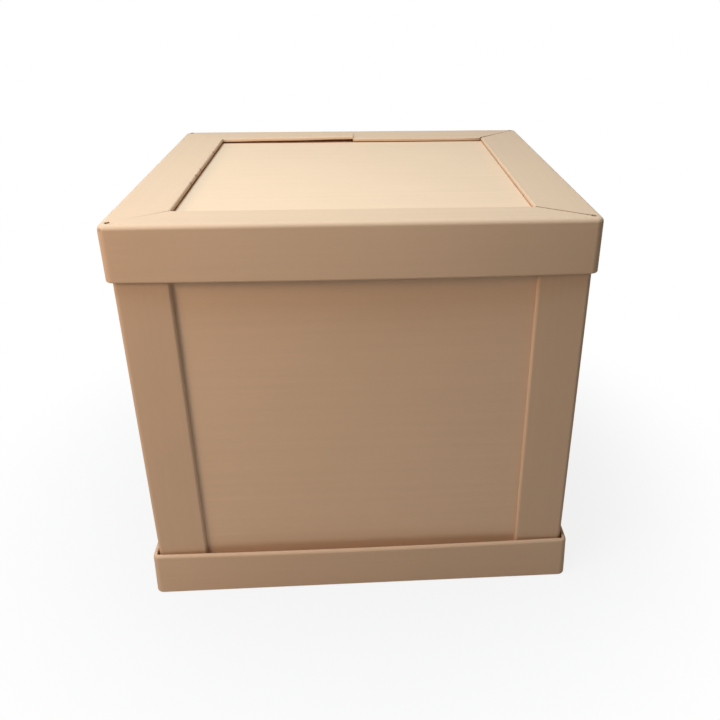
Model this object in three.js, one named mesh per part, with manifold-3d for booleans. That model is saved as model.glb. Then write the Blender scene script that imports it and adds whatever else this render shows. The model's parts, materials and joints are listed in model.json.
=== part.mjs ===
// A honeycomb cardboard box: a sleeve of four honeycomb wall panels with an angle board at each
// corner, standing in a tray and closed by a lid. The tray and the lid are a honeycomb panel each,
// wrapped by one long angle board that is notched and folded round the corners.
// Millimetres, +Z up, front towards -Y, origin on the floor under the middle of the box.

import * as THREE from "three";
import { mergeVertices } from "three/addons/utils/BufferGeometryUtils.js";
import Module from "manifold-3d";

const wasm = await Module();
wasm.setup();

// The sleeve, over its corner posts
const sleeveWidth = 852;
const sleeveDepth = 776;
const wallHeight = 754;

// Honeycomb panels
const wallThickness = 20;
const lidPanelThickness = 20;
const basePanelThickness = 20;

// Angle board of wound paper, and the outside width of its legs where it is used
const boardThickness = 8;
const postLeg = 100;
const lidFlatLeg = { front: 72, right: 110, back: 108, left: 110 }; // on top of the lid's panel
const lidSkirt = 104;
const trayLowerLeg = { front: 100, right: 100, back: 100, left: 100 }; // under the base panel
const trayRim = 96;
const outerEdgeRounding = 6; // of the free edges, on the face that shows
const innerEdgeRounding = 1.5; // of the free edges, on the hidden face
const boardFoldRadius = 9; // outside of the board's own lengthwise fold
const trayFoldRadius = 4; // the same fold, pressed sharper under the load
const cornerFoldRadius = 15; // outside of the upright folds where a board turns a corner

// Clearances
const lidSlip = 1.5; // sleeve to the lid's skirt
const traySlip = 6; // sleeve to the foot of the tray's rim
const glueLine = 0.3; // between pieces that are glued or that rest on each other

// Notched corners of the lid's and the tray's board
const notchReach = 17; // how far the notch stops short of the outer corner
const notchHoleRadius = 5; // the small opening left at the tip of a notch
const closedNotch = 0.8; // width of a notch that closes well
const openNotch = 3; // width of the notches that stand open
const seamGap = 3; // between the two ends of a board
const seamOffset = -1; // of the lid's seam from the middle; the tray's lies on the other side

// How far the boards have sprung from flat and square
const lidBow = { front: 7, right: 3, back: 7, left: 3 };
const trayBow = { front: 5, right: 3, back: 5, left: 3 };
const trayLean = 3; // how far the top of the tray's rim leans in all round
const lidLift = {
  seamRight: 2,
  backRight: 1.5,
  frontRight: 2,
  frontLeft: 4,
  backLeft: 4,
  seamLeft: 9,
};
const levelLeg = {}; // the tray's lower leg lies flat under the load

// Mesh fineness
const sideSteps = 8;
const cornerSteps = 5;
const foldSteps = 4;
const edgeSteps = 3;
const sharpCorner = 0.5; // radius left on the inner corners, so no edge has zero length

// Sizes that follow
const innerFold = (foldRadius) => Math.max(foldRadius - boardThickness, sharpCorner);
const foldClearance = (foldRadius) => boardThickness + innerFold(foldRadius) + glueLine;
const lidPanelInset = foldClearance(boardFoldRadius);
const basePanelInset = foldClearance(trayFoldRadius) + trayLean;
const panelCornerRadius = Math.max(cornerFoldRadius - boardThickness, sharpCorner);
const basePanelBottom = boardThickness + glueLine;
const sleeveBottom = basePanelBottom + basePanelThickness + glueLine;
const sleeveTop = sleeveBottom + wallHeight;
const lidPanelBottom = sleeveTop + glueLine;
const lidPanelTop = lidPanelBottom + lidPanelThickness;
const lidTop = lidPanelTop + glueLine + boardThickness;
const wallInset = boardThickness + glueLine;

const kraftTop = 0xd9b48e;
const kraftFace = 0xcfa983;
const kraftBoard = 0xc8a07a;

const box = new THREE.Group();

function addPiece(name, geometry, color, roughness) {
  const material = new THREE.MeshStandardMaterial({ color, roughness, metalness: 0 });
  const mesh = new THREE.Mesh(geometry, material);
  mesh.name = name;
  box.add(mesh);
}

function toSolid(geometry) {
  geometry.deleteAttribute("normal");
  geometry.deleteAttribute("uv");
  const merged = mergeVertices(geometry, 1e-4);
  const vertProperties = new Float32Array(merged.attributes.position.array);
  const triVerts = new Uint32Array(merged.index.array);
  return new wasm.Manifold(new wasm.Mesh({ numProp: 3, vertProperties, triVerts }));
}

function toGeometry(solid) {
  const mesh = solid.getMesh();
  const geometry = new THREE.BufferGeometry();
  geometry.setAttribute("position", new THREE.BufferAttribute(mesh.vertProperties, 3));
  geometry.setIndex(new THREE.BufferAttribute(mesh.triVerts, 1));
  const flat = geometry.toNonIndexed();
  flat.computeVertexNormals();
  return flat;
}

// Section of an angle board

function arc(centreX, centreY, radius, from, to, steps) {
  const points = [];
  for (let i = 0; i <= steps; i += 1) {
    const angle = from + ((to - from) * i) / steps;
    points.push([centreX + radius * Math.cos(angle), centreY + radius * Math.sin(angle)]);
  }
  return points;
}

// The outer corner of the fold is at (0, 0), and the legs run along +X and +Y.
function boardSection(legX, legY, foldRadius) {
  const t = boardThickness;
  const e = outerEdgeRounding;
  const h = innerEdgeRounding;
  const inner = innerFold(foldRadius);
  const quarter = Math.PI / 2;
  return [
    ...arc(foldRadius, foldRadius, foldRadius, 2 * quarter, 3 * quarter, foldSteps),
    ...arc(legX - e, e, e, -quarter, 0, edgeSteps),
    ...arc(legX - h, t - h, h, 0, quarter, edgeSteps),
    ...arc(t + inner, t + inner, inner, 3 * quarter, 2 * quarter, edgeSteps),
    ...arc(t - h, legY - h, h, 0, quarter, edgeSteps),
    ...arc(e, legY - e, e, quarter, 2 * quarter, edgeSteps),
  ];
}

// A board that wraps the lid or the tray

// Each side's outward direction, and the direction in which places along it are counted
const sides = {
  front: { out: [0, -1], run: [1, 0] },
  right: { out: [1, 0], run: [0, 1] },
  back: { out: [0, 1], run: [1, 0] },
  left: { out: [-1, 0], run: [0, 1] },
};

// The radius of the corners at a given inset, and half the straight stretch between two of them
function cornerRadiusAt(inset) {
  return Math.max(cornerFoldRadius - inset, sharpCorner);
}

function straightHalf(half, inset) {
  return half - inset - cornerRadiusAt(inset);
}

// The section is drawn for the widest flat leg, and drawn in on a side whose leg is narrower.
function insetOn(wrap, side, inset) {
  const start = Math.max(wrap.foldRadius, boardThickness + innerFold(wrap.foldRadius));
  const share = (wrap.flatLeg[side] - start) / (wrap.widestLeg - start);
  return inset > start ? start + (inset - start) * share : inset;
}

// How far from the middle the straight stretches that meet a side end, at a given inset
function reachOf(wrap, side, inset) {
  const axis = sides[side].out[0] === 0 ? 1 : 0;
  return straightHalf(wrap.halves[axis], insetOn(wrap, side, inset));
}

const sideAcross = (signX) => (signX > 0 ? "right" : "left");
const sideAlong = (signY) => (signY > 0 ? "back" : "front");

// Stations from the seam at the back, clockwise as seen from above, and round to the seam again.
// A place along a side runs from -1 to 1 between its corners.
function wrapStations(wrap) {
  const stations = [];
  const amount = (name) => wrap.lift[name] ?? 0;
  const straight = (side, from, to, liftFrom, liftTo, steps) => {
    for (let i = 0; i <= steps; i += 1) {
      const s = i / steps;
      const along = from + (to - from) * s;
      const raised = amount(liftFrom) + (amount(liftTo) - amount(liftFrom)) * s;
      stations.push({ side, along, raised });
    }
  };
  const corner = (signX, signY, from, name) => {
    for (let i = 1; i < cornerSteps; i += 1) {
      const turn = from - (Math.PI / 2) * (i / cornerSteps);
      stations.push({ signX, signY, turn, raised: amount(name) });
    }
  };
  const span = straightHalf(wrap.halves[0], 0);
  const seamStart = (wrap.seamX + seamGap / 2) / span;
  const seamEnd = (wrap.seamX - seamGap / 2) / span;
  const quarter = Math.PI / 2;
  straight("back", seamStart, 1, "seamRight", "backRight", sideSteps / 2);
  corner(1, 1, quarter, "backRight");
  straight("right", 1, -1, "backRight", "frontRight", sideSteps);
  corner(1, -1, 0, "frontRight");
  straight("front", 1, -1, "frontRight", "frontLeft", sideSteps);
  corner(-1, -1, -quarter, "frontLeft");
  straight("left", -1, 1, "frontLeft", "backLeft", sideSteps);
  corner(-1, 1, 2 * quarter, "backLeft");
  straight("back", -1, seamEnd, "backLeft", "seamLeft", sideSteps / 2);
  return stations;
}

// One point of the wrapped board: inset is measured in from the outline, drop from the fold.
// The flat leg lifts towards its free edge, and the upright leg bows and leans towards its own.
function wrapPoint(wrap, place, inset, drop) {
  const share = (distance, leg) => Math.max(distance - boardThickness, 0) / (leg - boardThickness);
  const lifted = place.raised * share(inset, wrap.widestLeg);
  const z = wrap.zFold + wrap.up * (lifted - drop);
  const sprung = share(drop, wrap.uprightLeg);
  if (place.side === undefined) {
    const radius = cornerRadiusAt(inset) - wrap.lean * sprung;
    const centreX = place.signX * reachOf(wrap, sideAcross(place.signX), inset);
    const centreY = place.signY * reachOf(wrap, sideAlong(place.signY), inset);
    return [centreX + radius * Math.cos(place.turn), centreY + radius * Math.sin(place.turn), z];
  }
  const { out, run } = sides[place.side];
  const swell = (wrap.bow[place.side] * (1 - place.along ** 2) - wrap.lean) * sprung;
  const ends = run[0] === 0 ? ["front", "back"] : ["left", "right"];
  const [low, high] = ends.map((side) => reachOf(wrap, side, inset));
  const along = ((high + low) * place.along + high - low) / 2;
  const inwards = insetOn(wrap, place.side, inset);
  const coordinate = (i) => out[i] * (wrap.halves[i] - inwards + swell) + run[i] * along;
  return [coordinate(0), coordinate(1), z];
}

function wrapBoard(wrap) {
  const section = boardSection(wrap.widestLeg, wrap.uprightLeg, wrap.foldRadius);
  const stations = wrapStations(wrap);
  const positions = [];
  for (const place of stations) {
    for (const [inset, drop] of section) {
      positions.push(...wrapPoint(wrap, place, inset, drop));
    }
  }
  const count = section.length;
  const index = [];
  const face = (p, q, r) => index.push(...(wrap.up > 0 ? [p, q, r] : [p, r, q]));
  for (let i = 0; i + 1 < stations.length; i += 1) {
    for (let j = 0; j < count; j += 1) {
      const k = (j + 1) % count;
      const here = i * count;
      const next = here + count;
      face(here + j, here + k, next + k);
      face(here + j, next + k, next + j);
    }
  }
  const outline = section.map(([x, y]) => new THREE.Vector2(x, y));
  const last = (stations.length - 1) * count;
  for (const [p, q, r] of THREE.ShapeUtils.triangulateShape(outline, [])) {
    face(p, r, q);
    face(last + p, last + q, last + r);
  }
  const geometry = new THREE.BufferGeometry();
  geometry.setAttribute("position", new THREE.Float32BufferAttribute(positions, 3));
  geometry.setIndex(index);
  return toSolid(geometry);
}

// The cut of one notch, from past the inner corner of the flat leg to near the outer corner
function notchCut(wrap, [signX, signY, widthInside, widthOutside]) {
  const tip = new THREE.Vector2(notchReach, notchReach);
  const legs = [wrap.flatLeg[sideAcross(signX)], wrap.flatLeg[sideAlong(signY)]];
  const run = new THREE.Vector2(...legs).sub(tip).normalize();
  const across = new THREE.Vector2(-run.y, run.x);
  const inner = new THREE.Vector2(...legs).addScaledVector(run, boardThickness);
  const depth = 3 * boardThickness;
  const z = wrap.zFold - depth / 2;
  const shape = new THREE.Shape();
  const at = (from, offset) => {
    const inset = from.clone().addScaledVector(across, offset);
    return [signX * (wrap.halves[0] - inset.x), signY * (wrap.halves[1] - inset.y)];
  };
  shape.moveTo(...at(inner, -widthInside / 2));
  shape.lineTo(...at(tip, -widthOutside / 2));
  shape.lineTo(...at(tip, widthOutside / 2));
  shape.lineTo(...at(inner, widthInside / 2));
  shape.closePath();
  const slit = new THREE.ExtrudeGeometry(shape, { depth, bevelEnabled: false });
  slit.translate(0, 0, z);
  const hole = new THREE.CylinderGeometry(notchHoleRadius, notchHoleRadius, depth, 10);
  hole.rotateX(Math.PI / 2);
  const centre = at(tip, 0);
  hole.translate(centre[0], centre[1], z + depth / 2);
  return toSolid(slit).add(toSolid(hole));
}

function addWrap(name, shape) {
  const wrap = { ...shape, widestLeg: Math.max(...Object.values(shape.flatLeg)) };
  let solid = wrapBoard(wrap);
  for (const notch of wrap.notches) {
    solid = solid.subtract(notchCut(wrap, notch));
  }
  addPiece(name, toGeometry(solid), kraftBoard, 0.82);
}

// Half the width and half the depth of a lid or tray over its board
function outerHalves(slip) {
  const collar = slip + boardThickness;
  return [sleeveWidth / 2 + collar, sleeveDepth / 2 + collar];
}

// A honeycomb panel with its corners rounded to fit inside the folded board
function flatPanel(halves, inset, thickness, bottom) {
  const r = panelCornerRadius;
  const [a, b] = halves.map((half) => half - inset - r);
  const shape = new THREE.Shape();
  const quarter = Math.PI / 2;
  shape.absarc(a, b, r, 0, quarter);
  shape.absarc(-a, b, r, quarter, 2 * quarter);
  shape.absarc(-a, -b, r, 2 * quarter, 3 * quarter);
  shape.absarc(a, -b, r, 3 * quarter, 4 * quarter);
  const settings = { depth: thickness, bevelEnabled: false, curveSegments: cornerSteps };
  const panel = new THREE.ExtrudeGeometry(shape, settings);
  panel.translate(0, 0, bottom);
  return panel;
}

// The notches are given as [side in X, side in Y, width at the inner end, width at the outer end].
function addLid() {
  const halves = outerHalves(lidSlip);
  const panel = flatPanel(halves, lidPanelInset, lidPanelThickness, lidPanelBottom);
  addPiece("lid_panel", panel, kraftTop, 0.85);
  addWrap("lid_edge_board", {
    halves,
    flatLeg: lidFlatLeg,
    uprightLeg: lidSkirt,
    foldRadius: boardFoldRadius,
    lean: 0,
    seamX: seamOffset,
    lift: lidLift,
    bow: lidBow,
    zFold: lidTop,
    up: 1,
    notches: [
      [-1, -1, closedNotch, closedNotch],
      [1, -1, openNotch, openNotch],
      [1, 1, openNotch, closedNotch],
      [-1, 1, closedNotch, closedNotch],
    ],
  });
}

function addTray() {
  const halves = outerHalves(traySlip);
  const panel = flatPanel(halves, basePanelInset, basePanelThickness, basePanelBottom);
  addPiece("base_panel", panel, kraftFace, 0.85);
  addWrap("tray_edge_board", {
    halves,
    flatLeg: trayLowerLeg,
    uprightLeg: trayRim,
    foldRadius: trayFoldRadius,
    lean: trayLean,
    seamX: -seamOffset,
    lift: levelLeg,
    bow: trayBow,
    zFold: 0,
    up: -1,
    notches: [
      [-1, -1, closedNotch, closedNotch],
      [1, -1, closedNotch, closedNotch],
      [1, 1, closedNotch, closedNotch],
      [-1, 1, closedNotch, closedNotch],
    ],
  });
}

// The front and back walls span the whole width, and the side walls stand between them.
function addWalls() {
  const width = sleeveWidth - 2 * (wallInset + innerFold(boardFoldRadius));
  const sideLength = sleeveDepth - 2 * (wallInset + wallThickness + glueLine);
  const middle = sleeveBottom + wallHeight / 2;
  const frontY = sleeveDepth / 2 - wallInset - wallThickness / 2;
  const sideX = sleeveWidth / 2 - wallInset - wallThickness / 2;
  for (const [name, sign] of [["wall_front", -1], ["wall_back", 1]]) {
    const wall = new THREE.BoxGeometry(width, wallThickness, wallHeight);
    wall.translate(0, sign * frontY, middle);
    addPiece(name, wall, kraftFace, 0.85);
  }
  for (const [name, sign] of [["wall_left", -1], ["wall_right", 1]]) {
    const wall = new THREE.BoxGeometry(wallThickness, sideLength, wallHeight);
    wall.translate(sign * sideX, 0, middle);
    addPiece(name, wall, kraftFace, 0.85);
  }
}

function addCornerPost(name, signX, signY) {
  const place = ([inset, drop]) =>
    new THREE.Vector2(signX * (sleeveWidth / 2 - inset), signY * (sleeveDepth / 2 - drop));
  const shape = new THREE.Shape(boardSection(postLeg, postLeg, boardFoldRadius).map(place));
  const post = new THREE.ExtrudeGeometry(shape, { depth: wallHeight, bevelEnabled: false });
  post.translate(0, 0, sleeveBottom);
  addPiece(name, post, kraftBoard, 0.82);
}

addTray();
addWalls();
addCornerPost("corner_post_front_left", -1, -1);
addCornerPost("corner_post_front_right", 1, -1);
addCornerPost("corner_post_back_left", -1, 1);
addCornerPost("corner_post_back_right", 1, 1);
addLid();

export default box;
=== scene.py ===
import json
import math

import bmesh
import bpy
from mathutils import Matrix, Vector, noise

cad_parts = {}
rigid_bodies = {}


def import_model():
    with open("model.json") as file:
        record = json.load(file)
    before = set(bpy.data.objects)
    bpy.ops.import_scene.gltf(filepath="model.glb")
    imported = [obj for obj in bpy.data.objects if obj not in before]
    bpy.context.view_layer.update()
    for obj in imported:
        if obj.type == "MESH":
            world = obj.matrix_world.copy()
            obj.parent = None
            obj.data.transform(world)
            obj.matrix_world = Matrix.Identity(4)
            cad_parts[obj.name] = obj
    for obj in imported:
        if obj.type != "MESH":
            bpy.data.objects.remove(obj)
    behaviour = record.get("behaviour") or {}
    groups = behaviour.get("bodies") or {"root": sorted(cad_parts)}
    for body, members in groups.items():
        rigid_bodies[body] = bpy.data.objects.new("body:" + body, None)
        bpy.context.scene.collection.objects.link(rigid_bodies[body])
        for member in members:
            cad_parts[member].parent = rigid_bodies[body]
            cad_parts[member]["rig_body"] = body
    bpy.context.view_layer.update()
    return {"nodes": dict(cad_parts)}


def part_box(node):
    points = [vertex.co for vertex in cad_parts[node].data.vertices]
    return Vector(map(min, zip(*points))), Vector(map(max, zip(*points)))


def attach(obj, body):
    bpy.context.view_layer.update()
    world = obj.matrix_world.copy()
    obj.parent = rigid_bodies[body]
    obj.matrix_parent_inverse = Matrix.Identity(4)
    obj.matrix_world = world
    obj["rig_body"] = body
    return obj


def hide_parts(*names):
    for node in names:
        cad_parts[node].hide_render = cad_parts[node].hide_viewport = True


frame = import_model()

bl_info = {
    "name": "Honeycomb board box",
    "version": (1, 0, 0),
    "blender": (4, 5, 0),
    "location": "View3D > Sidebar > Box",
    "description": "Builds the looks of a honeycomb board box round its packed frame",
    "category": "Add Mesh",
}

# Lengths are in metres all through the file

# Gaps that the frame leaves between its pieces, and the sizes that are read from it
GLUE_LINE = 0.0003
TRAY_PLAY = 0.0005
BOARD_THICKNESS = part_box("base_panel")[0].z - GLUE_LINE
LID_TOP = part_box("lid_panel")[1].z + GLUE_LINE + BOARD_THICKNESS
LID_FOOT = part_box("lid_edge_board")[0].z
TRAY_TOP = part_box("tray_edge_board")[1].z
SLEEVE_HALF = -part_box("corner_post_front_left")[0].xy
LID_PANEL_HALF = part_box("lid_panel")[1].xy
BASE_PANEL_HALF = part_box("base_panel")[1].xy

WALLS = ("wall_front", "wall_back", "wall_left", "wall_right")
CORNERS = {
    "front_left": (-1, -1),
    "front_right": (1, -1),
    "back_left": (-1, 1),
    "back_right": (1, 1),
}

# How far the lid's flat leg stands off the panel at its free edge, at the two ends of each side:
# from front to back at the left and right, from left to right at the front, and from the seam to
# the corner in each half of the back
LID_LIFTS = {
    "left": (0.004, 0.0045),
    "right": (0.002, 0.0015),
    "front": (0.004, 0.002),
    "back_left": (0.0085, 0.0018),
    "back_right": (0.002, 0.0015),
}
NO_LIFTS = dict.fromkeys(LID_LIFTS, (0.0, 0.0))

# Darker spots, part torn paper whose plies show and part painted shade of nicks and a corner hole:
# four along the lid's left inner edge, by their y, and one at its front left corner
TEAR_AND_SHADE_YS = (-0.132, -0.073, -0.021, 0.145)
TEAR_AND_SHADE_EDGE_RADIUS, TEAR_AND_SHADE_EDGE_RISE = 0.0055, 0.001
TEAR_AND_SHADE_CORNER_RADIUS, TEAR_AND_SHADE_CORNER_IN, TEAR_AND_SHADE_CORNER_DOWN = 0.006, 0.005, 0.006

# Distances over which the faces' soft unevenness comes and goes
UPRIGHT_RIPPLE = 0.16
FLAT_RIPPLE = 0.12
POST_RIPPLE = 0.2
PANEL_RIPPLE = 0.22
LIFT_UNEVENNESS = 0.25

# Patterns in the paper: features in a metre, and how strongly each one shades
CLOUDS, CLOUD_SHADE = 9.0, 0.06
FIBRES, FIBRE_SHADE = (60.0, 420.0, 1.0), 0.07
STREAKS, STREAK_SHADE = (1.3, 70.0, 1.0), 0.09
TOOTH = 900.0
# The darker spots' ragged outline, how dark they get, and the darkest core: torn plies with painted
# shade
TEAR_AND_SHADE_RAGGEDNESS, TEAR_AND_SHADE_DARKNESS, TEAR_AND_SHADE_CORE = 260.0, 0.5, 0.55
PAPER_RELIEF = 0.0003

# Patterns at the cut edges: a ply shows every 0.9 mm
PLY_TURNS, PLY_SHADE = 7000.0, 0.07
PLY_WANDER = 0.0006
EDGE_RELIEF = 0.0004

# Steps of the rounded edges, and the angle from which an edge counts as sharp
CORNER_STEPS, PANEL_CORNER_STEPS = 8, 5
FOLD_STEPS = 6
OUTER_STEPS, INNER_STEPS = 5, 2
SHARP_ANGLE = math.radians(50)
SMALL = 1e-5

# Camera and floor: near the box the floor shows a share of its shadow, and further out none
SENSOR_MM = 36.0
FLOOR_RADIUS = 12.0
FLOOR_DROP = 0.0005
SHADOW_NEAR, SHADOW_FAR, SHADOW_WHITE = 0.45, 1.1, 0.85
WHITE = (1.0, 1.0, 1.0, 1.0)


def length(name, description, default, top=0.2):
    """A length property in metres."""
    return bpy.props.FloatProperty(
        name=name, description=description, default=default, min=0.0, max=top, unit="LENGTH",
        precision=4,
    )


def spot(name, description, default):
    """A place property in metres."""
    return bpy.props.FloatVectorProperty(
        name=name, description=description, default=default, size=3, subtype="TRANSLATION",
        unit="LENGTH",
    )


def angle(name, description, degrees):
    """An angle property, given in degrees."""
    return bpy.props.FloatProperty(
        name=name, description=description, default=math.radians(degrees), subtype="ANGLE",
        unit="ROTATION",
    )


def turn(name, description, degrees):
    """A property of three turns, given in degrees."""
    return bpy.props.FloatVectorProperty(
        name=name, description=description, default=[math.radians(each) for each in degrees],
        size=3, subtype="EULER", unit="ROTATION",
    )


def watts(name, description, default):
    """A lamp's strength."""
    return bpy.props.FloatProperty(
        name=name, description=description, default=default, min=0.0, unit="POWER"
    )


def colour(name, description, default):
    """A linear colour property."""
    return bpy.props.FloatVectorProperty(
        name=name, description=description, default=default, size=3, min=0.0, max=1.0,
        subtype="COLOR",
    )


def fraction(name, description, default):
    """A property between none and all."""
    return bpy.props.FloatProperty(
        name=name, description=description, default=default, min=0.0, max=1.0, subtype="FACTOR"
    )


def number(name, description, default, low, high):
    """A plain number property."""
    return bpy.props.FloatProperty(
        name=name, description=description, default=default, min=low, max=high
    )


class BoxBoardSizes(bpy.types.PropertyGroup):
    """Sizes of the wound-paper angle boards."""

    thickness: length("Thickness", "Thickness of the board", BOARD_THICKNESS)
    fold: length("Fold radius", "Outside radius of the board's own fold", 0.009)
    tray_fold: length("Tray fold radius", "The same fold on the tray, pressed sharper", 0.004)
    corner: length("Corner radius", "Outside radius where a board turns a corner", 0.015)
    outer_edge: length("Outer edge rounding", "Free edges, on the face that shows", 0.006)
    lid_edge: length("Lid edge rounding", "The same rounding on the lid's board", 0.0035)
    inner_edge: length("Inner edge rounding", "Free edges, on the hidden face", 0.0015)
    cut_edge: length("Cut edge rounding", "Softening of the sawn edges", 0.0004)
    lid_front_leg: length("Lid leg, front", "Width of the leg along the top's front", 0.072)
    lid_side_leg: length("Lid leg, sides", "Width of the legs along the top's sides", 0.11)
    lid_back_leg: length("Lid leg, back", "Width of the leg along the top's back", 0.108)
    tray_leg: length("Tray leg", "Width of the leg under the base panel", 0.1)
    tray_lean: length("Tray lean", "How far the top of the tray's rim leans in", 0.003)
    notch_reach: length("Notch reach", "Distance from a notch's tip to the outline", 0.017)
    notch_hole: length("Notch hole", "Half the width of the opening at a notch's tip", 0.0045)
    notch_closed: length("Closed notch", "Width of a notch that closes well", 0.0005)
    notch_open: length("Open notch", "Width of a notch that stands open", 0.0045)
    seam: length("Seam", "Gap between the two ends of a board at its fold", 0.0003)
    seam_spread: length("Seam spread", "How far each end springs away at the free edge", 0.0008)
    seam_offset: length("Seam offset", "Distance from the middle of the back to the seam", 0.001)
    front_bow_lid: length("Lid bow, front", "Outward bow of the skirt's front and back", 0.0068)
    side_bow_lid: length("Lid bow, sides", "Outward bow of the skirt's two sides", 0.003)
    front_bow_tray: length("Tray bow, front", "Outward bow of the rim's front and back", 0.005)
    side_bow_tray: length("Tray bow, sides", "Outward bow of the rim's two sides", 0.003)
    waviness: length("Waviness", "How uneven a board's faces are", 0.0005)
    grid: length("Grid", "Spacing of the cuts that let a board bend", 0.04)
    grid_margin: length("Grid margin", "How far those cuts keep from the window", 0.012)


class BoxPanelSizes(bpy.types.PropertyGroup):
    """Sizes of the honeycomb panels."""

    edge: length("Edge rounding", "Rounding of a panel's edges", 0.0015)
    corner: length("Corner radius", "Upright corners of the lid's and base's panel", 0.007)
    unevenness: length("Unevenness", "How far a panel's face dips", 0.0006)
    grid: length("Grid", "Spacing of the cuts that let a face dip", 0.05)


class BoxFinish(bpy.types.PropertyGroup):
    """Colours and finish of the paper."""

    panel: colour("Panel", "Paper of the honeycomb panels", (0.74, 0.503, 0.32))
    board: colour("Board", "Paper of the angle boards", (0.645, 0.433, 0.273))
    board_edge: colour("Board edge", "Plies at a board's cut edge", (0.50, 0.31, 0.185))
    panel_edge: colour("Panel edge", "Cut edge of a honeycomb panel", (0.52, 0.34, 0.21))
    roughness: fraction("Roughness", "Roughness of the paper", 0.78)


class BoxStage(bpy.types.PropertyGroup):
    """Camera, lamps and floor."""

    camera_place: spot("Camera", "Where the camera stands", (-0.0009, -1.6174, 1.2006))
    pitch: angle("Pitch", "How far the camera looks down", 25.328)
    yaw: angle("Yaw", "How far the camera is turned to the right", 3.903)
    roll: angle("Roll", "How far the camera is rolled", 0.299)
    lens: number("Lens", "Focal length on a 36 mm sensor, in millimetres", 37.243, 1, 300)
    shift_x: number("Shift X", "Sideways shift of the picture", -0.0601, -1, 1)
    shift_y: number("Shift Y", "Upward shift of the picture", -0.0531, -1, 1)
    key: watts("Key", "Strength of the lamp above the box", 89.0)
    key_colour: colour("Key colour", "Colour of the lamp above the box", (0.645, 0.82, 0.975))
    key_place: spot("Key place", "Where the lamp above the box hangs", (-0.6, -0.45, 3.0))
    key_turn: turn("Key turn", "How the lamp above the box is turned", (18, 0, -53))
    key_size: length("Key size", "Side of the lamp above the box", 1.5, 10.0)
    side: watts("Side", "Strength of the lamp to the left", 19.5)
    side_colour: colour("Side colour", "Colour of the lamp to the left", (1.0, 0.74, 0.57))
    side_place: spot("Side place", "Where the lamp to the left stands", (-1.6, -1.3, 1.5))
    side_turn: turn("Side turn", "How the lamp to the left is turned", (62, 0, -50))
    side_size: length("Side size", "Side of the lamp to the left", 0.8, 10.0)
    sky: number("Sky", "Strength of the even light from all round", 0.12, 0, 10)
    sky_colour: colour("Sky colour", "Colour of the even light", (1.0, 0.86, 0.7))
    floor_grey: fraction("Floor grey", "How much light the floor sends back", 0.5)


class Signal:
    """A node's output, on which Python's operators add Math nodes."""

    def __init__(self, paint, socket):
        self.paint = paint
        self.socket = socket

    def math(self, operation, *others):
        inputs = dict(enumerate((self, *others)))
        return self.paint.node("ShaderNodeMath", {"operation": operation}, inputs)

    def __add__(self, other):
        return self.math("ADD", other)

    __radd__ = __add__

    def __sub__(self, other):
        return self.math("SUBTRACT", other)

    def __rsub__(self, other):
        return self.paint.node("ShaderNodeMath", {"operation": "SUBTRACT"}, {0: other, 1: self})

    def __mul__(self, other):
        return self.math("MULTIPLY", other)

    __rmul__ = __mul__

    def __abs__(self):
        return self.math("ABSOLUTE")

    def least(self, other):
        return self.math("MINIMUM", other)

    def most(self, other):
        return self.math("MAXIMUM", other)


class Paint:
    """The node tree of a material or a world, with one method that adds any node."""

    def __init__(self, owner, shader="Principled BSDF", output="Material Output"):
        owner.use_nodes = True
        self.owner = owner
        self.tree = owner.node_tree
        self.shader = self.tree.nodes[shader]
        self.output = self.tree.nodes[output]

    def node(self, kind, settings=None, inputs=None, output=0):
        made = self.tree.nodes.new(kind)
        for key, value in (settings or {}).items():
            setattr(made, key, value)
        for key, value in (inputs or {}).items():
            self.feed(made.inputs[key], value)
        return Signal(self, made.outputs[output])

    def feed(self, socket, value):
        if isinstance(value, Signal):
            self.tree.links.new(value.socket, socket)
        else:
            socket.default_value = value

    def finish(self, values):
        """Gives the shader's own sockets their values or links."""
        for name, value in values.items():
            self.feed(self.shader.inputs[name], value)

    def place(self):
        return self.node("ShaderNodeTexCoord", None, None, "Object")

    def noise(self, vector, scale, detail=3.0, roughness=0.5):
        """Noise round zero."""
        values = {"Vector": vector, "Scale": scale, "Detail": detail, "Roughness": roughness}
        return self.node("ShaderNodeTexNoise", None, values) - 0.5

    def stretched(self, vector, scale):
        return self.node("ShaderNodeMapping", None, {"Vector": vector, "Scale": scale})

    def tinted(self, rgb, factor):
        """The colour times a factor that varies over the surface."""
        grey = self.node("ShaderNodeCombineXYZ", None, {0: factor, 1: factor, 2: factor})
        values = {0: tuple(rgb), 1: grey}
        return self.node("ShaderNodeVectorMath", {"operation": "MULTIPLY"}, values)

    def bump(self, height, distance, strength):
        values = {"Height": height, "Distance": distance, "Strength": strength}
        return self.node("ShaderNodeBump", None, values)

    def mix_with_white(self, share):
        """Shows a plain white in place of the shader, by a share between none and all."""
        kind = "ShaderNodeBackground" if self.shader.type == "BACKGROUND" else "ShaderNodeEmission"
        white = self.node(kind, None, {"Color": WHITE, "Strength": 1.0})
        values = {0: share, 1: Signal(self, self.shader.outputs[0]), 2: white}
        self.feed(self.output.inputs["Surface"], self.node("ShaderNodeMixShader", None, values))

    def seen(self):
        """One for what the camera sees, straight or by way of gloss and glass, and else none."""
        rays = ("Is Camera Ray", "Is Glossy Ray", "Is Transmission Ray")
        camera, gloss, glass = [self.node("ShaderNodeLightPath", None, None, ray) for ray in rays]
        return camera.most(gloss).most(glass)


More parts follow.
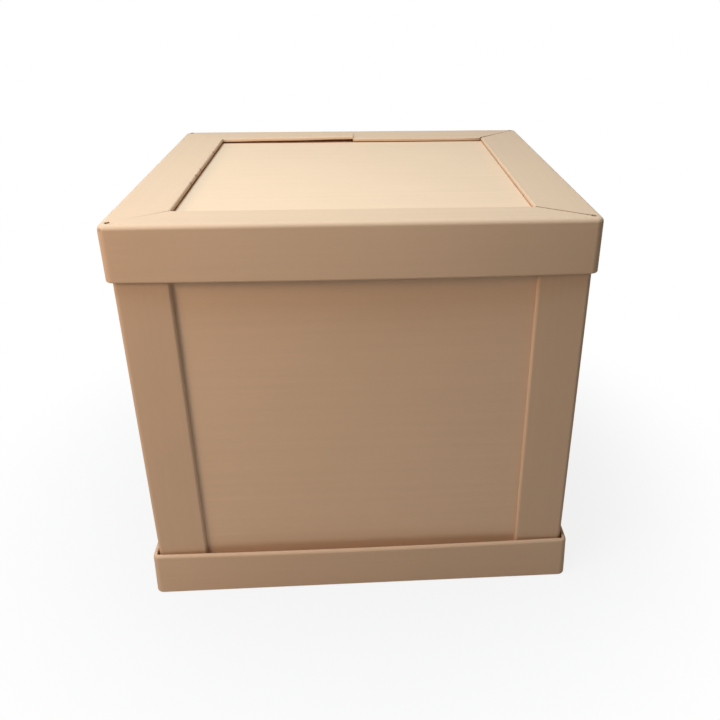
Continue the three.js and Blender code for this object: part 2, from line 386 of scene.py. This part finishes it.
def kraft_face(name, rgb, roughness, tears_and_shade=()):
    """Kraft paper: clouds of fibre, streaks along its run, a faint tooth, and darker spots that are
    part torn paper and part painted shade.
    """
    paint = Paint(bpy.data.materials.new(name))
    place = paint.place()
    run = paint.node("ShaderNodeUVMap", {"uv_map": "grain"})
    clouds = paint.noise(place, CLOUDS, 4.0, 0.55)
    fibres = paint.noise(paint.stretched(run, FIBRES), 1.0, 3.0, 0.6)
    streaks = paint.noise(paint.stretched(run, STREAKS), 1.0, 4.0, 0.6)
    shade = 1.0 + CLOUD_SHADE * clouds + FIBRE_SHADE * fibres + STREAK_SHADE * streaks
    ragged = paint.noise(place, TEAR_AND_SHADE_RAGGEDNESS, 3.0, 0.7) if tears_and_shade else None
    # Each spot darkens the colour: darker plies where the paper is torn, with painted shade of a
    # nick or a hole
    for centre, radius in tears_and_shade:
        away = paint.node(
            "ShaderNodeVectorMath", {"operation": "DISTANCE"}, {0: place, 1: centre}, "Value"
        )
        values = {"Value": away + ragged * radius, "From Min": TEAR_AND_SHADE_CORE * radius,
                  "From Max": radius, "To Min": TEAR_AND_SHADE_DARKNESS, "To Max": 1.0}
        shade = shade * paint.node("ShaderNodeMapRange", None, values)
    tooth = paint.noise(place, TOOTH, 2.0)
    height = 0.5 * fibres + 0.5 * tooth + 0.8 * streaks
    paint.finish({
        "Base Color": paint.tinted(rgb, shade),
        "Roughness": roughness + 0.12 * clouds,
        "Normal": paint.bump(height, PAPER_RELIEF, 0.6),
        "Specular IOR Level": 0.3,
    })
    return paint.owner


def board_edge(name, rgb, half, fold_height):
    """The plies at an angle board's cut edge: lines that follow the board's faces."""
    paint = Paint(bpy.data.materials.new(name))
    place = paint.place()
    x, y, z = [paint.node("ShaderNodeSeparateXYZ", None, {0: place}, axis) for axis in range(3)]
    depth = (half.x - abs(x)).least(half.y - abs(y)).least(abs(fold_height - z))
    wander = paint.noise(place, 40.0, 3.0) * PLY_WANDER
    plies = ((depth + wander) * PLY_TURNS).math("SINE")
    fibres = paint.noise(place, 500.0, 3.0, 0.6)
    paint.finish({
        "Base Color": paint.tinted(rgb, 1.0 + PLY_SHADE * plies + 0.3 * fibres),
        "Roughness": 0.9,
        "Normal": paint.bump(plies * 0.5 + fibres, EDGE_RELIEF, 0.5),
        "Specular IOR Level": 0.2,
    })
    return paint.owner


def panel_edge(name, rgb, roughness):
    """The closed edge of a honeycomb panel."""
    paint = Paint(bpy.data.materials.new(name))
    place = paint.place()
    clouds = paint.noise(place, 30.0, 4.0, 0.6)
    fibres = paint.noise(place, 350.0, 3.0, 0.6)
    paint.finish({
        "Base Color": paint.tinted(rgb, 1.0 + 0.12 * clouds + 0.2 * fibres),
        "Roughness": roughness,
        "Normal": paint.bump(fibres, EDGE_RELIEF, 0.6),
    })
    return paint.owner


# Mesh helpers


def clamp(value, low, high):
    return min(max(value, low), high)


def ripple(point, size):
    """A soft unevenness, from none to one."""
    return abs(noise.noise(point / size))


def cut(bm, point, normal, keep=None):
    """Cuts the faces that keep() accepts along a plane, and leaves both sides."""
    faces = [f for f in bm.faces if keep is None or keep(f.calc_center_median())]
    edges = {e for f in faces for e in f.edges}
    verts = {v for f in faces for v in f.verts}
    geom = [*verts, *edges, *faces]
    bmesh.ops.bisect_plane(bm, geom=geom, plane_co=point, plane_no=normal, dist=SMALL)


def drop_faces(bm, inside):
    """Deletes the faces whose centre is inside."""
    faces = [f for f in bm.faces if inside(f.calc_center_median())]
    bmesh.ops.delete(bm, geom=faces, context="FACES")


def cut_grid(bm, low, high, spacing, axes, lines=(), margin=0.0):
    """Even cuts across the whole mesh, about spacing apart, that keep clear of the given lines."""
    for axis in axes:
        span = high[axis] - low[axis]
        steps = max(1, round(span / spacing))
        normal = Vector([float(i == axis) for i in range(3)])
        for step in range(1, steps):
            place = low[axis] + span * step / steps
            if all(other != axis or abs(place - line) > margin for other, line in lines):
                cut(bm, normal * place, normal)


def moved_ends(grown):
    """The points that an extrusion made."""
    return [v for v in grown["geom"] if isinstance(v, bmesh.types.BMVert)]


def upright_edges(bm):
    return [e for e in bm.edges if abs(e.verts[0].co.z - e.verts[1].co.z) > SMALL]


def round_edges(bm, edges, radius, segments):
    bmesh.ops.bevel(
        bm, geom=edges, offset=radius, segments=segments, profile=0.5, affect="EDGES",
        material=-1, clamp_overlap=False,
    )


def face_outward(bm, probe):
    """Turns the whole sheet if the face nearest probe looks away from it."""
    bmesh.ops.recalc_face_normals(bm, faces=bm.faces[:])
    nearest = min(bm.faces, key=lambda f: (f.calc_center_median() - probe).length)
    if nearest.normal.dot(probe - nearest.calc_center_median()) < 0:
        bmesh.ops.reverse_faces(bm, faces=bm.faces[:])


# What a board's faces are: the face that shows, the hidden one, a free long edge or a sawn edge
SHOWN, HIDDEN, FREE, SAWN = 1, 2, 3, 4


def thicken(bm, sizes, outer_edge, is_free):
    """Gives a board its thickness, and rounds the long edges that is_free() accepts."""
    kind = bm.faces.layers.int.new("kind")
    shown = set(bm.faces)
    made = bmesh.ops.solidify(bm, geom=bm.faces[:], thickness=sizes.thickness)
    hidden = {g for g in made["geom"] if isinstance(g, bmesh.types.BMFace)}
    bm.normal_update()
    for face in bm.faces:
        if face in shown:
            face[kind] = SHOWN
        elif face in hidden:
            face[kind] = HIDDEN
        else:
            face[kind] = FREE if is_free(face) else SAWN
            face.material_index = 0 if face[kind] == FREE else 1
    for skin, radius, steps in (
        (HIDDEN, sizes.inner_edge, INNER_STEPS),
        (SHOWN, outer_edge, OUTER_STEPS),
    ):
        pair = {skin, FREE}
        edges = [e for e in bm.edges if {f[kind] for f in e.link_faces} == pair]
        round_edges(bm, edges, radius, steps)


def grain_map(bm, place):
    """Writes the UV map that the paper's streaks follow: place gives (along the run, across)."""
    layer = bm.loops.layers.uv.new("grain")
    for face in bm.faces:
        middle = face.calc_center_median()
        for loop in face.loops:
            loop[layer].uv = place(loop.vert.co, middle)


def finish_piece(node, bm, materials, softening):
    """Makes the object, softens the edges left sharp, and puts it in the place of its node."""
    mesh = bpy.data.meshes.new(node)
    bm.to_mesh(mesh)
    bm.free()
    mesh.shade_smooth()
    piece = bpy.data.objects.new(node, mesh)
    bpy.context.scene.collection.objects.link(piece)
    for material in materials:
        mesh.materials.append(material)
    bevel = piece.modifiers.new("Bevel", "BEVEL")
    bevel.width = softening
    bevel.segments = 2
    bevel.limit_method = "ANGLE"
    bevel.angle_limit = SHARP_ANGLE
    bevel.harden_normals = True
    flats = piece.modifiers.new("Flats", "WEIGHTED_NORMAL")
    flats.keep_sharp = False
    flats.weight = 80
    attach(piece, frame["nodes"][node]["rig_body"])
    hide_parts(node)


# Angle boards that wrap the lid and the tray


class Wrap:
    """One folded angle board: its outline, its legs, its fold and how it has sprung.

    half is the outline from the middle, fold_z the height of the flat leg's face, and up is 1
    where that leg lies on top and -1 where it lies below. The upright leg bows out, front and
    back by front_bow and the sides by side_bow, and leans in. The flat leg lifts at its free
    edge. notches gives each corner's notch width at the window and at its tip.
    """

    def __init__(self, half, fold_z, up, fold, edge, legs, upright_leg, seam_x, front_bow,
                 side_bow, lean, lifts, notches):
        self.half = half
        self.fold_z = fold_z
        self.up = up
        self.fold = fold
        self.edge = edge
        self.legs = legs
        self.upright_leg = upright_leg
        self.seam_x = seam_x
        self.front_bow = front_bow
        self.side_bow = side_bow
        self.lean = lean
        self.lifts = lifts
        self.notches = notches

    def inset(self, point):
        """How far inside the outline a point lies."""
        return min(self.half.x - abs(point.x), self.half.y - abs(point.y))

    def drop(self, point):
        """How far a point lies from the flat leg's face, along the upright leg."""
        return self.up * (self.fold_z - point.z)

    def is_flat(self, point):
        return abs(point.z - self.fold_z) < SMALL

    def leg(self, side):
        return self.legs["side" if side in ("left", "right") else side]

    def window(self):
        """The window's four lines, each as the axis it stands across and its place there."""
        return (
            (0, self.leg("left") - self.half.x),
            (0, self.half.x - self.leg("right")),
            (1, self.leg("front") - self.half.y),
            (1, self.half.y - self.leg("back")),
        )

    def side_of(self, point, reach):
        """The side of the flat leg that a point is on, told by the mitres between the legs."""
        across = "right" if point.x > 0 else "left"
        along = "back" if point.y > 0 else "front"
        share_x = (self.half.x - abs(point.x) - reach) / (self.leg(across) - reach)
        share_y = (self.half.y - abs(point.y) - reach) / (self.leg(along) - reach)
        return across if share_x < share_y else along

    def mitre(self, signs, reach):
        """A corner's mitre: its outer and inner end, and the directions along and across it."""
        sx, sy = signs
        leg_x = self.leg("left")
        leg_y = self.leg("back" if sy > 0 else "front")
        tip = Vector((sx * (self.half.x - reach), sy * (self.half.y - reach), self.fold_z))
        inner = Vector((sx * (self.half.x - leg_x), sy * (self.half.y - leg_y), self.fold_z))
        along = (inner - tip).normalized()
        return tip, inner, along, along.cross(Vector((0, 0, 1)))

    def lift_at(self, point, side):
        """The lift of the flat leg's free edge, carried evenly between its side's two ends."""
        if side == "back":
            side = "back_right" if point.x > self.seam_x else "back_left"
            share = abs(point.x) / self.half.x
        elif side == "front":
            share = 0.5 + 0.5 * point.x / self.half.x
        else:
            share = 0.5 + 0.5 * point.y / self.half.y
        start, end = self.lifts[side]
        return start + (end - start) * clamp(share, 0.0, 1.0)

    def flat_share(self, point, side, inner):
        """How far across its flat leg a point lies, from none at inner to one at the edge."""
        axis = 0 if side in ("left", "right") else 1
        return (self.half[axis] - abs(point[axis]) - inner) / (self.leg(side) - inner)


def rounded_cap(wrap, sizes):
    """A whole flat face with its four uprights, rounded at the corners and along the fold."""
    bm = bmesh.new()
    bmesh.ops.create_grid(bm, x_segments=1, y_segments=1, size=1.0)
    bmesh.ops.scale(bm, vec=(wrap.half.x, wrap.half.y, 1.0), verts=bm.verts[:])
    bmesh.ops.translate(bm, vec=(0, 0, wrap.fold_z), verts=bm.verts[:])
    grown = bmesh.ops.extrude_edge_only(bm, edges=bm.edges[:])
    bmesh.ops.translate(bm, vec=(0, 0, -wrap.up * wrap.upright_leg), verts=moved_ends(grown))
    round_edges(bm, upright_edges(bm), sizes.corner, CORNER_STEPS)
    fold = [e for e in bm.edges if all(wrap.is_flat(v.co) for v in e.verts)]
    round_edges(bm, fold, wrap.fold, FOLD_STEPS)
    return bm


def cut_window(bm, wrap, sizes):
    """Opens the window in the flat face, and leaves only mitred cuts between the four legs."""
    lines = wrap.window()
    for axis, place in lines:
        normal = Vector([float(i == axis) for i in range(3)])
        cut(bm, normal * place, normal)
    (_, left), (_, right), (_, front), (_, back) = lines
    drop_faces(bm, lambda p: wrap.is_flat(p) and left < p.x < right and front < p.y < back)
    for signs in CORNERS.values():
        tip, inner, _, across = wrap.mitre(signs, sizes.notch_reach)
        cut(bm, tip, across, lambda p: wrap.is_flat(p) and all(
            (p[axis] - inner[axis]) * signs[axis] > 0 for axis in (0, 1)
        ))

    def is_left_over(edge):
        points = [v.co for v in edge.verts]
        return len(edge.link_faces) == 2 and all(wrap.is_flat(p) for p in points) and any(
            all(abs(p[axis] - place) < SMALL for p in points) for axis, place in lines
        )

    edges = [e for e in bm.edges if is_left_over(e)]
    bmesh.ops.dissolve_edges(bm, edges=edges, use_verts=True, use_face_split=False)


def cut_notch(bm, wrap, sizes, signs, width_in, width_out):
    """Opens the mitre of one corner, and the small hole at its tip."""
    tip, inner, along, across = wrap.mitre(signs, sizes.notch_reach)
    hole = sizes.notch_hole

    def reach(p):
        return (p - tip).dot(along)

    def aside(p):
        return abs((p - tip).dot(across))

    def in_quarter(p):
        return wrap.is_flat(p) and p.x * signs[0] > 0 and p.y * signs[1] > 0

    def in_corner(p):
        return in_quarter(p) and reach(p) < 3 * sizes.notch_reach

    def in_notch(p):
        if not in_quarter(p):
            return False
        if abs(reach(p)) < hole:
            return aside(p) < hole
        width = width_out + (width_in - width_out) * reach(p) / (inner - tip).length
        return reach(p) > 0 and aside(p) < width / 2

    cut(bm, tip + along * hole, along, in_corner)
    cut(bm, tip - along * hole, along, in_corner)
    for sign in (-1, 1):
        start = inner + across * (sign * width_in / 2)
        end = tip + across * (sign * width_out / 2)
        cut(bm, start, (end - start).cross(Vector((0, 0, 1))).normalized(), in_quarter)
        hole_side = tip + across * (sign * hole)
        cut(bm, hole_side, across, lambda p: in_corner(p) and abs(reach(p)) < hole)
    drop_faces(bm, in_notch)


def cut_seam(bm, wrap, sizes):
    """Parts the board's two ends in the middle of the back."""
    _, back = wrap.window()[3]

    def in_back(p):
        return p.y > back - SMALL

    for sign in (-1, 1):
        cut(bm, (wrap.seam_x + sign * sizes.seam / 2, 0, 0), (1, 0, 0), in_back)
    drop_faces(bm, lambda p: in_back(p) and abs(p.x - wrap.seam_x) < sizes.seam / 2)


def wrap_sheet(wrap, sizes):
    """The outer face of the wrapped board, with the cuts that let it bend."""
    bm = rounded_cap(wrap, sizes)
    cut_window(bm, wrap, sizes)
    cut_grid(bm, -wrap.half, wrap.half, sizes.grid, (0, 1), wrap.window(), sizes.grid_margin)
    for share in (0.3, 0.5, 0.7):
        cut(bm, (0, 0, wrap.fold_z - wrap.up * wrap.upright_leg * share), (0, 0, 1))
    for corner, (width_in, width_out) in wrap.notches.items():
        cut_notch(bm, wrap, sizes, CORNERS[corner], width_in, width_out)
    cut_seam(bm, wrap, sizes)
    return bm


def spring(bm, wrap, sizes):
    """Lifts the flat leg, bows and leans the upright leg, and makes both a little uneven."""
    depth = sizes.thickness
    straight = wrap.half - Vector((sizes.corner, sizes.corner))
    for vert in bm.verts:
        point = vert.co.copy()
        if wrap.drop(point) > wrap.fold:
            share = max(wrap.drop(point) - depth, 0.0) / (wrap.upright_leg - depth)
            nearest = Vector([clamp(point[i], -straight[i], straight[i]) for i in (0, 1)])
            out = (point.xy - nearest).normalized()
            at_side = abs(out.x) > abs(out.y)
            along = point.y / straight.y if at_side else point.x / straight.x
            free = max(0.0, 1.0 - along * along)
            bow = wrap.side_bow if at_side else wrap.front_bow
            swell = free * (bow - ripple(point, UPRIGHT_RIPPLE) * sizes.waviness)
            vert.co.xy += out * (share * (swell - wrap.lean))
            if point.y > 0 and abs(point.x - wrap.seam_x) < sizes.seam:
                vert.co.x += math.copysign(share * sizes.seam_spread, point.x - wrap.seam_x)
        elif wrap.inset(point) > wrap.fold:
            side = wrap.side_of(point, sizes.notch_reach)
            share = max(wrap.flat_share(point, side, depth), 0.0)
            uneven = 1.0 - LIFT_UNEVENNESS * ripple(point, FLAT_RIPPLE)
            vert.co.z += wrap.up * share * wrap.lift_at(point, side) * uneven


def wrap_board(node, wrap, sizes, finish, tears_and_shade=()):
    """Builds one angle board that is folded round a panel."""
    bm = wrap_sheet(wrap, sizes)
    spring(bm, wrap, sizes)
    face_outward(bm, Vector((0, -1, wrap.fold_z - wrap.up * wrap.upright_leg / 2)))

    def is_free(face):
        middle, normal = face.calc_center_median(), face.normal
        if abs(normal.z) > 0.8:
            return True
        at_seam = middle.y > 0 and abs(middle.x - wrap.seam_x) < 2 * sizes.seam
        square = abs(normal.y) > 0.95 or (abs(normal.x) > 0.95 and not at_seam)
        return square and wrap.drop(middle) < 2 * sizes.thickness

    thicken(bm, sizes, wrap.edge, is_free)

    def place(point, middle):
        at_side = wrap.half.x - abs(middle.x) < wrap.half.y - abs(middle.y)
        return (point.y if at_side else point.x, wrap.drop(point) - wrap.inset(point))

    grain_map(bm, place)
    materials = [
        kraft_face(node + "_paper", finish.board, finish.roughness, tears_and_shade),
        board_edge(node + "_plies", finish.board_edge, wrap.half, wrap.fold_z),
    ]
    finish_piece(node, bm, materials, sizes.cut_edge)


class BOX_OT_lid_board(bpy.types.Operator):
    """Builds the angle board that is folded round the lid"""

    bl_idname = "box.lid_board"
    bl_label = "Lid board"

    def execute(self, context):
        sizes, finish = context.scene.box_boards, context.scene.box_finish
        shut, ajar = sizes.notch_closed, sizes.notch_open
        clear = sizes.fold + GLUE_LINE
        wrap = Wrap(
            half=LID_PANEL_HALF + Vector((clear, clear)),
            fold_z=LID_TOP,
            up=1,
            fold=sizes.fold,
            edge=sizes.lid_edge,
            legs={
                "front": sizes.lid_front_leg,
                "side": sizes.lid_side_leg,
                "back": sizes.lid_back_leg,
            },
            upright_leg=LID_TOP - LID_FOOT,
            seam_x=-sizes.seam_offset,
            front_bow=sizes.front_bow_lid,
            side_bow=sizes.side_bow_lid,
            lean=0.0,
            lifts=LID_LIFTS,
            notches={
                "front_left": (shut, shut),
                "front_right": (ajar, ajar),
                "back_right": (ajar, shut),
                "back_left": (shut, shut),
            },
        )
        # Darker spots along the left leg's inner edge and at the front left corner: torn paper with
        # painted shade of nicks and a hole
        inner_edge = sizes.lid_side_leg - wrap.half.x
        rise = LID_TOP + TEAR_AND_SHADE_EDGE_RISE
        tears_and_shade = [((inner_edge, y, rise), TEAR_AND_SHADE_EDGE_RADIUS) for y in TEAR_AND_SHADE_YS]
        corner = (TEAR_AND_SHADE_CORNER_IN - wrap.half.x, -wrap.half.y, LID_TOP - TEAR_AND_SHADE_CORNER_DOWN)
        tears_and_shade.append((corner, TEAR_AND_SHADE_CORNER_RADIUS))
        wrap_board("lid_edge_board", wrap, sizes, finish, tears_and_shade)
        return {"FINISHED"}


class BOX_OT_tray_board(bpy.types.Operator):
    """Builds the angle board that is folded round the base panel"""

    bl_idname = "box.tray_board"
    bl_label = "Tray board"

    def execute(self, context):
        sizes, finish = context.scene.box_boards, context.scene.box_finish
        clear = sizes.thickness + TRAY_PLAY + GLUE_LINE + sizes.tray_lean
        wrap = Wrap(
            half=BASE_PANEL_HALF + Vector((clear, clear)),
            fold_z=0.0,
            up=-1,
            fold=sizes.tray_fold,
            edge=sizes.outer_edge,
            legs=dict.fromkeys(("front", "side", "back"), sizes.tray_leg),
            upright_leg=TRAY_TOP,
            seam_x=sizes.seam_offset,
            front_bow=sizes.front_bow_tray,
            side_bow=sizes.side_bow_tray,
            lean=sizes.tray_lean,
            lifts=NO_LIFTS,
            notches=dict.fromkeys(CORNERS, (sizes.notch_closed, sizes.notch_closed)),
        )
        wrap_board("tray_edge_board", wrap, sizes, finish)
        return {"FINISHED"}


class BOX_OT_corner_posts(bpy.types.Operator):
    """Builds the four corner posts"""

    bl_idname = "box.corner_posts"
    bl_label = "Corner posts"

    def execute(self, context):
        sizes, finish = context.scene.box_boards, context.scene.box_finish
        no_flat_leg = 10.0
        materials = [
            kraft_face("post_paper", finish.board, finish.roughness),
            board_edge("post_plies", finish.board_edge, SLEEVE_HALF, no_flat_leg),
        ]
        for corner, signs in CORNERS.items():
            self.post("corner_post_" + corner, signs, sizes, materials)
        return {"FINISHED"}

    def post(self, node, signs, sizes, materials):
        low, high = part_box(node)
        leg = high.x - low.x
        sx, sy = signs
        corner = Vector((sx * SLEEVE_HALF.x, sy * SLEEVE_HALF.y, low.z))
        bm = bmesh.new()
        path = [corner - Vector((sx * leg, 0, 0)), corner, corner - Vector((0, sy * leg, 0))]
        verts = [bm.verts.new(p) for p in path]
        edges = [bm.edges.new(pair) for pair in zip(verts, verts[1:])]
        grown = bmesh.ops.extrude_edge_only(bm, edges=edges)
        bmesh.ops.translate(bm, vec=(0, 0, high.z - low.z), verts=moved_ends(grown))
        fold = [e for e in bm.edges if all((v.co.xy - corner.xy).length < SMALL for v in e.verts)]
        round_edges(bm, fold, sizes.fold, FOLD_STEPS)
        cut_grid(bm, low, high, sizes.grid, (0, 1, 2))
        for vert in bm.verts:
            point = vert.co.copy()
            inset = Vector((SLEEVE_HALF.x - abs(point.x), SLEEVE_HALF.y - abs(point.y)))
            if max(inset) > sizes.fold:
                axis = 1 if inset.x > inset.y else 0
                dip = ripple(point, POST_RIPPLE) * sizes.waviness * max(inset) / leg
                vert.co[axis] -= math.copysign(dip, point[axis])
        face_outward(bm, corner * 2)
        thicken(bm, sizes, sizes.outer_edge, lambda face: abs(face.normal.z) < 0.5)

        def place(point, middle):
            return (point.z, (SLEEVE_HALF.x - abs(point.x)) - (SLEEVE_HALF.y - abs(point.y)))

        grain_map(bm, place)
        finish_piece(node, bm, materials, sizes.cut_edge)


def panel_piece(node, corner, sizes, materials):
    """A honeycomb panel, with a flat liner on both faces and a closed edge all round."""
    low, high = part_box(node)
    size = high - low
    thin = min(range(3), key=lambda axis: size[axis])
    wide = [axis for axis in range(3) if axis != thin]
    bm = bmesh.new()
    bmesh.ops.create_cube(bm, size=1.0)
    bmesh.ops.scale(bm, vec=size, verts=bm.verts[:])
    bmesh.ops.translate(bm, vec=(low + high) / 2, verts=bm.verts[:])
    if corner:
        round_edges(bm, upright_edges(bm), corner, PANEL_CORNER_STEPS)
    cut_grid(bm, low, high, sizes.grid, wide)
    for face in bm.faces:
        face.material_index = 0 if abs(face.normal[thin]) > 0.9 else 1
    middle = (low[thin] + high[thin]) / 2
    for vert in bm.verts:
        from_edge = min(min(vert.co[axis] - low[axis], high[axis] - vert.co[axis]) for axis in wide)
        if from_edge > sizes.grid / 2:
            dip = ripple(vert.co, PANEL_RIPPLE) * sizes.unevenness
            vert.co[thin] -= math.copysign(dip, vert.co[thin] - middle)
    grain_map(bm, lambda point, centre: (point[wide[0]], point[wide[1]]))
    finish_piece(node, bm, materials, sizes.edge)


class BOX_OT_panels(bpy.types.Operator):
    """Builds the six honeycomb panels"""

    bl_idname = "box.panels"
    bl_label = "Honeycomb panels"

    def execute(self, context):
        sizes, finish = context.scene.box_panels, context.scene.box_finish
        materials = [
            kraft_face("panel_paper", finish.panel, finish.roughness),
            panel_edge("panel_closed_edge", finish.panel_edge, finish.roughness),
        ]
        for node in WALLS:
            panel_piece(node, 0.0, sizes, materials)
        for node in ("lid_panel", "base_panel"):
            panel_piece(node, sizes.corner, sizes, materials)
        return {"FINISHED"}


class BOX_OT_stage(bpy.types.Operator):
    """Builds the camera, the lamps, the floor and the background"""

    bl_idname = "box.stage"
    bl_label = "Stage"

    def execute(self, context):
        scene, stage = context.scene, context.scene.box_stage
        self.camera(scene, stage)
        for name in ("key", "side"):
            self.lamp(scene, stage, name)
        self.floor(scene, stage)
        self.world(scene, stage)
        scene.view_settings.view_transform = "Standard"
        return {"FINISHED"}

    def camera(self, scene, stage):
        data = bpy.data.cameras.new("camera")
        data.sensor_width = SENSOR_MM
        data.lens = stage.lens
        data.shift_x, data.shift_y = stage.shift_x, stage.shift_y
        camera = bpy.data.objects.new("camera", data)
        camera.location = stage.camera_place
        turns = ((-stage.yaw, "Z"), (math.pi / 2 - stage.pitch, "X"), (stage.roll, "Z"))
        yaw, pitch, roll = [Matrix.Rotation(by, 3, axis) for by, axis in turns]
        camera.rotation_euler = (yaw @ pitch @ roll).to_euler()
        scene.collection.objects.link(camera)
        scene.camera = camera

    def lamp(self, scene, stage, name):
        """A square lamp that shines down its own axis."""
        data = bpy.data.lights.new(name, "AREA")
        data.energy = getattr(stage, name)
        data.color = getattr(stage, name + "_colour")
        data.shape = "SQUARE"
        data.size = getattr(stage, name + "_size")
        lamp = bpy.data.objects.new(name, data)
        lamp.location = getattr(stage, name + "_place")
        lamp.rotation_euler = getattr(stage, name + "_turn")
        scene.collection.objects.link(lamp)

    def floor(self, scene, stage):
        """A grey floor that shows white, but for the box's shadow close to it."""
        bm = bmesh.new()
        bmesh.ops.create_circle(bm, cap_ends=True, segments=64, radius=FLOOR_RADIUS)
        bmesh.ops.translate(bm, vec=(0, 0, -FLOOR_DROP), verts=bm.verts[:])
        mesh = bpy.data.meshes.new("floor")
        bm.to_mesh(mesh)
        bm.free()
        floor = bpy.data.objects.new("floor", mesh)
        scene.collection.objects.link(floor)
        paint = Paint(bpy.data.materials.new("floor_white"))
        mesh.materials.append(paint.owner)
        grey = stage.floor_grey
        paint.finish({"Base Color": (grey, grey, grey, 1), "Roughness": 0.9})
        distance = paint.node(
            "ShaderNodeVectorMath", {"operation": "LENGTH"}, {0: paint.place()}, "Value"
        )
        values = {"Value": distance, "From Min": SHADOW_NEAR, "From Max": SHADOW_FAR,
                  "To Min": SHADOW_WHITE, "To Max": 1.0}
        fade = paint.node("ShaderNodeMapRange", {"interpolation_type": "SMOOTHSTEP"}, values)
        paint.mix_with_white(paint.seen() * fade)

    def world(self, scene, stage):
        """Even light from all round that shows white."""
        scene.world = bpy.data.worlds.new("studio")
        paint = Paint(scene.world, "Background", "World Output")
        paint.finish({"Color": (*stage.sky_colour, 1), "Strength": stage.sky})
        paint.mix_with_white(paint.seen())


OPERATORS = (
    BOX_OT_stage,
    BOX_OT_panels,
    BOX_OT_corner_posts,
    BOX_OT_tray_board,
    BOX_OT_lid_board,
)
GROUPS = {
    "box_boards": BoxBoardSizes,
    "box_panels": BoxPanelSizes,
    "box_finish": BoxFinish,
    "box_stage": BoxStage,
}


class BOX_PT_panel(bpy.types.Panel):
    """Lists the steps that build the box"""

    bl_idname = "BOX_PT_panel"
    bl_label = "Honeycomb board box"
    bl_space_type = "VIEW_3D"
    bl_region_type = "UI"
    bl_category = "Box"

    def draw(self, context):
        for operator in OPERATORS:
            self.layout.operator(operator.bl_idname)


def register():
    for name, group in GROUPS.items():
        bpy.utils.register_class(group)
        setattr(bpy.types.Scene, name, bpy.props.PointerProperty(type=group))
    for operator in OPERATORS:
        bpy.utils.register_class(operator)
    bpy.utils.register_class(BOX_PT_panel)


def unregister():
    bpy.utils.unregister_class(BOX_PT_panel)
    for operator in reversed(OPERATORS):
        bpy.utils.unregister_class(operator)
    for name, group in reversed(GROUPS.items()):
        delattr(bpy.types.Scene, name)
        bpy.utils.unregister_class(group)


def main():
    register()
    bpy.ops.box.stage()
    bpy.ops.box.panels()
    bpy.ops.box.corner_posts()
    bpy.ops.box.tray_board()
    bpy.ops.box.lid_board()


if __name__ == "__main__":
    main()
